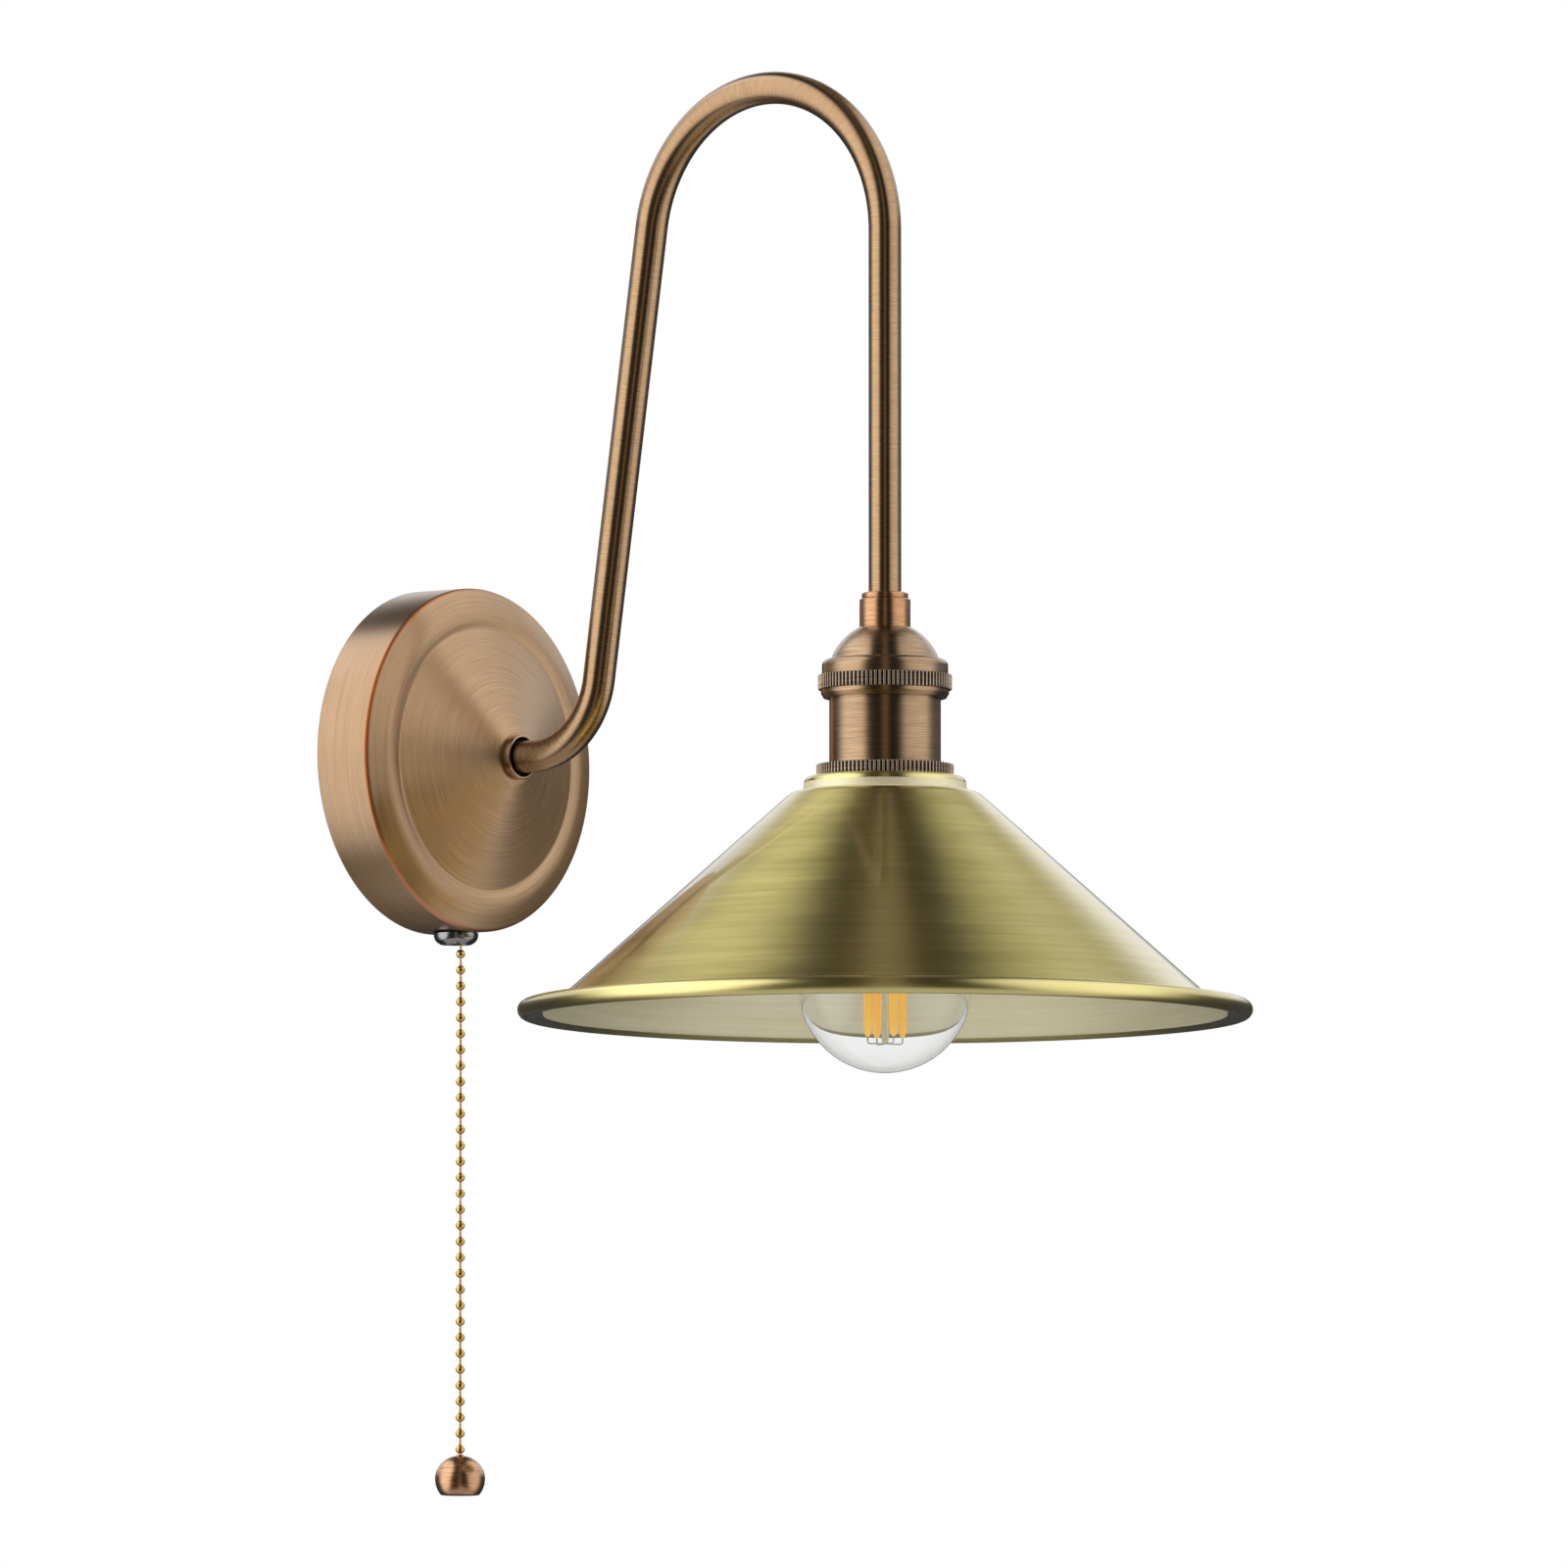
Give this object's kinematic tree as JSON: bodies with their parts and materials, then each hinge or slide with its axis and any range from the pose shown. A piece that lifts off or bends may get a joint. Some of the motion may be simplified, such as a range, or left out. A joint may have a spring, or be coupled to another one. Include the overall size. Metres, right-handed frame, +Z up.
{
  "type": "wall sconce",
  "caption": "Swan-neck wall sconce with a cone shade hung from its lamp holder, a round backplate and a bead-chain pull switch.",
  "frame": {"origin": "on the wall plane, at the middle of the bracket's two slots, which is the backplate's axis", "axes": "+Z up, -Y straight out of the wall to the front, +X to the right of someone facing the wall"},
  "size_m": [0.1902, 0.2506, 0.3676],
  "materials": {
    "plate_bronze": "antique bronze, brushed and lacquered",
    "arm_bronze": "antique bronze, satin",
    "holder_bronze": "antique bronze, brushed",
    "shade_brass": "pale lacquered brass, finely brushed",
    "chain_gold": "polished",
    "knob_bronze": "antique bronze, satin",
    "bush_chrome": "polished",
    "zinc_steel": "zinc plated",
    "contact_brass": "bright",
    "block_plastic": "moulded",
    "switch_plastic": "moulded thermoset",
    "porcelain": "unglazed",
    "flex_sheath": "smooth",
    "core_blue": "smooth",
    "core_brown": "smooth",
    "core_green": "smooth",
    "bulb_clear": "clear",
    "cap_aluminium": "bright",
    "vitrite": "black glass insulator",
    "solder": "soft solder",
    "filament_silicone": "silicone coat"
  },
  "bodies": {
    "fixture": {"backplate": "plate_bronze", "wall_bracket": "zinc_steel", "plate_screw": "zinc_steel", "earth_screw": "zinc_steel", "earth_tag": "contact_brass", "arm_tube": "arm_bronze", "arm_collar": "arm_bronze", "arm_washer": "zinc_steel", "arm_lock_nut": "zinc_steel", "terminal_block": "block_plastic", "terminal_screws": "zinc_steel", "switch_housing": "switch_plastic", "switch_cover": "switch_plastic", "switch_lock_nut": "zinc_steel", "switch_bush": "bush_chrome", "ferrule": "holder_bronze", "ferrule_ring": "holder_bronze", "holder_dome": "holder_bronze", "holder_cap_ring": "holder_bronze", "holder_barrel": "holder_bronze", "holder_insulator": "porcelain", "screw_shell": "contact_brass", "centre_contact": "contact_brass", "holder_terminals": "contact_brass", "shade_stop_ring": "holder_bronze", "arm_flex": "flex_sheath", "neutral_core": "core_blue", "live_core": "core_brown", "earth_core": "core_green", "switch_lead": "core_brown", "holder_cores": "core_brown"},
    "slider": {"pull_slider": "block_plastic", "slider_chain": "chain_gold", "switch_spring": "zinc_steel"},
    "pivot_bead": {"chain_top_bead": "chain_gold"},
    "upper_chain": {"chain_upper": "chain_gold"},
    "middle_bead": {"chain_middle_bead": "chain_gold"},
    "lower_chain": {"chain_lower": "chain_gold"},
    "knob": {"pull_knob": "knob_bronze"},
    "shade_body": {"shade": "shade_brass"},
    "retaining_ring": {"shade_retaining_ring": "holder_bronze"},
    "bulb_body": {"bulb_glass": "bulb_clear"},
    "bulb_core": {"bulb_cap": "cap_aluminium", "bulb_insulator": "vitrite", "bulb_contact": "solder", "bulb_stem": "bulb_clear", "bulb_filaments": "filament_silicone", "filament_frame": "zinc_steel"}
  },
  "joints": [
    {"name": "switch_pull", "type": "slide", "parent": "fixture", "child": "slider", "axis": [0, 0, -1], "range_m": [0, 0.006], "stiffness_N_per_m": 200, "springref_m": -0.003, "deforming": ["switch_spring"]},
    {"name": "chain_swing", "type": "hinge", "parent": "slider", "child": "pivot_bead", "pos_m": [0, -0.0108, -0.05077], "axis": [-1, 0, 0], "range_deg": [-1, 45]},
    {"name": "chain_side_swing", "type": "hinge", "parent": "pivot_bead", "child": "upper_chain", "pos_m": [0, -0.0108, -0.05077], "axis": [0, 1, 0], "range_deg": [-45, 45]},
    {"name": "chain_bend", "type": "hinge", "parent": "upper_chain", "child": "middle_bead", "pos_m": [0, -0.0108, -0.11377], "axis": [-1, 0, 0], "range_deg": [-1, 40]},
    {"name": "chain_side_bend", "type": "hinge", "parent": "middle_bead", "child": "lower_chain", "pos_m": [0, -0.0108, -0.11377], "axis": [0, 1, 0], "range_deg": [-45, 45]},
    {"name": "knob_swing", "type": "hinge", "parent": "lower_chain", "child": "knob", "pos_m": [0, -0.0108, -0.18097], "axis": [-1, 0, 0], "range_deg": [-2, 20]},
    {"name": "shade_drop", "type": "slide", "parent": "fixture", "child": "shade_body", "axis": [0, 0, -1], "range_m": [0, 0.016]},
    {"name": "retaining_ring_turn", "type": "hinge", "parent": "shade_body", "child": "retaining_ring", "pos_m": [0, -0.1555, -0.014], "axis": [0, 0, -1], "range_deg": [0, 2882]},
    {"name": "bulb_travel", "type": "slide", "parent": "fixture", "child": "bulb_body", "axis": [0, 0, -1], "range_m": [0, 0.0127]},
    {"name": "bulb_turn", "type": "hinge", "parent": "bulb_body", "child": "bulb_core", "pos_m": [0, -0.1555, -0.02], "axis": [0, 0, -1], "range_deg": [0, 1622]}
  ],
  "couplings": [
    {"joint": "retaining_ring_turn", "follows": "shade_drop", "rad_per_m": 3141.6},
    {"joint": "bulb_turn", "follows": "bulb_travel", "rad_per_m": 2226.5}
  ]
}
